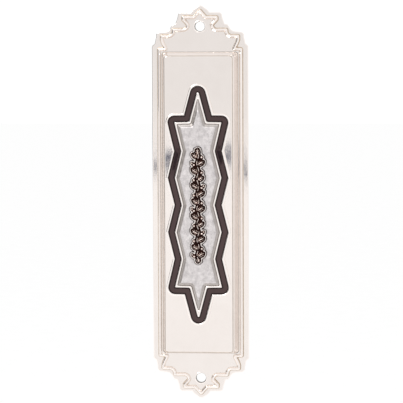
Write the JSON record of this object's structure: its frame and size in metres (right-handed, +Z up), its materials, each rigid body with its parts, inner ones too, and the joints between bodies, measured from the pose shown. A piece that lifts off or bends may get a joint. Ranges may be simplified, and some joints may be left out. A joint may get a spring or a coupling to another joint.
{
  "type": "mezuzah case",
  "caption": "Wall-hung case for a rolled parchment: crowned plate with a drawn box, a star plaque with an enamel strip and a vine ornament, and a press-in rear cover.",
  "frame": {"origin": "middle of the case's back, on the doorpost's surface", "axes": "+Z up along the case, +X to the right of a viewer, -Y out of the doorpost towards the viewer"},
  "size_m": [0.0384, 0.0148, 0.1576],
  "materials": {
    "polished_plate": "silver-plated sheet, polished bright",
    "polished_box": "silver-plated sheet, polished bright",
    "plaque_silver": "cast and polished",
    "enamel": "glossy dark enamel",
    "frosted_silver": "fine sparkling frost",
    "dark_patina": "blackened, slightly glossy",
    "bright_copper": "copper-toned, polished on its crests",
    "spring_steel": "plain spring steel",
    "bush_brass": "nickel-plated brass",
    "cover_sheet": "satin plated sheet",
    "foam": "dark open-cell foam",
    "parchment": "cream parchment",
    "clear_film": "clear thin film"
  },
  "bodies": {
    "case": {"face_plate": "polished_plate", "scroll_box": "polished_box", "plaque_frame": "plaque_silver", "enamel_band": "enamel", "star_field": "frosted_silver", "ornament_plate": "dark_patina", "ornament_vine": "bright_copper", "push_nut_upper_left": "spring_steel", "push_nut_upper_right": "spring_steel", "push_nut_lower_left": "spring_steel", "push_nut_lower_right": "spring_steel", "screw_bush_upper": "bush_brass", "screw_bush_lower": "bush_brass", "cover_ledge_left": "cover_sheet", "cover_ledge_right": "cover_sheet"},
    "rear_cover": {"rear_cover": "cover_sheet", "scroll_pad": "foam"},
    "scroll": {"scroll": "parchment", "scroll_sleeve": "clear_film"}
  },
  "joints": [
    {"name": "cover_lift", "type": "slide", "parent": "case", "child": "rear_cover", "axis": [0, 1, 0], "range_m": [0, 0.035]},
    {"name": "scroll_lift", "type": "slide", "parent": "case", "child": "scroll", "axis": [0, 1, 0], "range_m": [0, 0.0175]}
  ],
  "couplings": [
    {"joint": "scroll_lift", "follows": "cover_lift", "ratio": 0.5}
  ]
}
